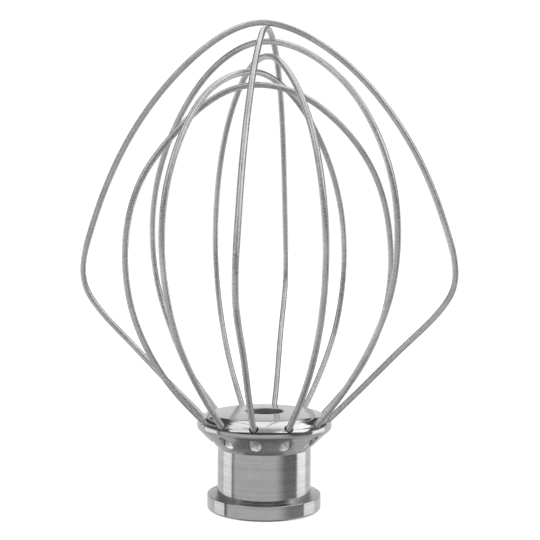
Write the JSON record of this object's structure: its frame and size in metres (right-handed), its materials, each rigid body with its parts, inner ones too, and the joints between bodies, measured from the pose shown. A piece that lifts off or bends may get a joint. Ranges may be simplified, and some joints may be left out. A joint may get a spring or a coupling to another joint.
{
  "type": "wire whip",
  "caption": "Balloon wire whip for a stand mixer: crossing loops of stainless wire set into a turned aluminium hub with a drive bore and bayonet keyway, standing on its hub.",
  "frame": {"origin": "centre of the hub's bottom face, on the axis of the drive bore", "axes": "+Z along the bore axis from the hub's bottom face to the wire tips; +X in the plane of the tallest wire"},
  "size_m": [0.1315, 0.1309, 0.1676],
  "materials": {
    "hub": "turned and polished, fine lathe lines",
    "wire": "satin drawn stainless wire",
    "pin": "peened ends, matt"
  },
  "bodies": {
    "root": {"hub": "hub", "wire_1": "wire", "wire_2": "wire", "wire_3": "wire", "wire_4": "wire", "wire_5": "wire", "wire_6": "wire", "wire_1_pins": "pin", "wire_2_pins": "pin", "wire_3_pins": "pin", "wire_4_pins": "pin", "wire_5_pins": "pin", "wire_6_pins": "pin"}
  },
  "joints": []
}
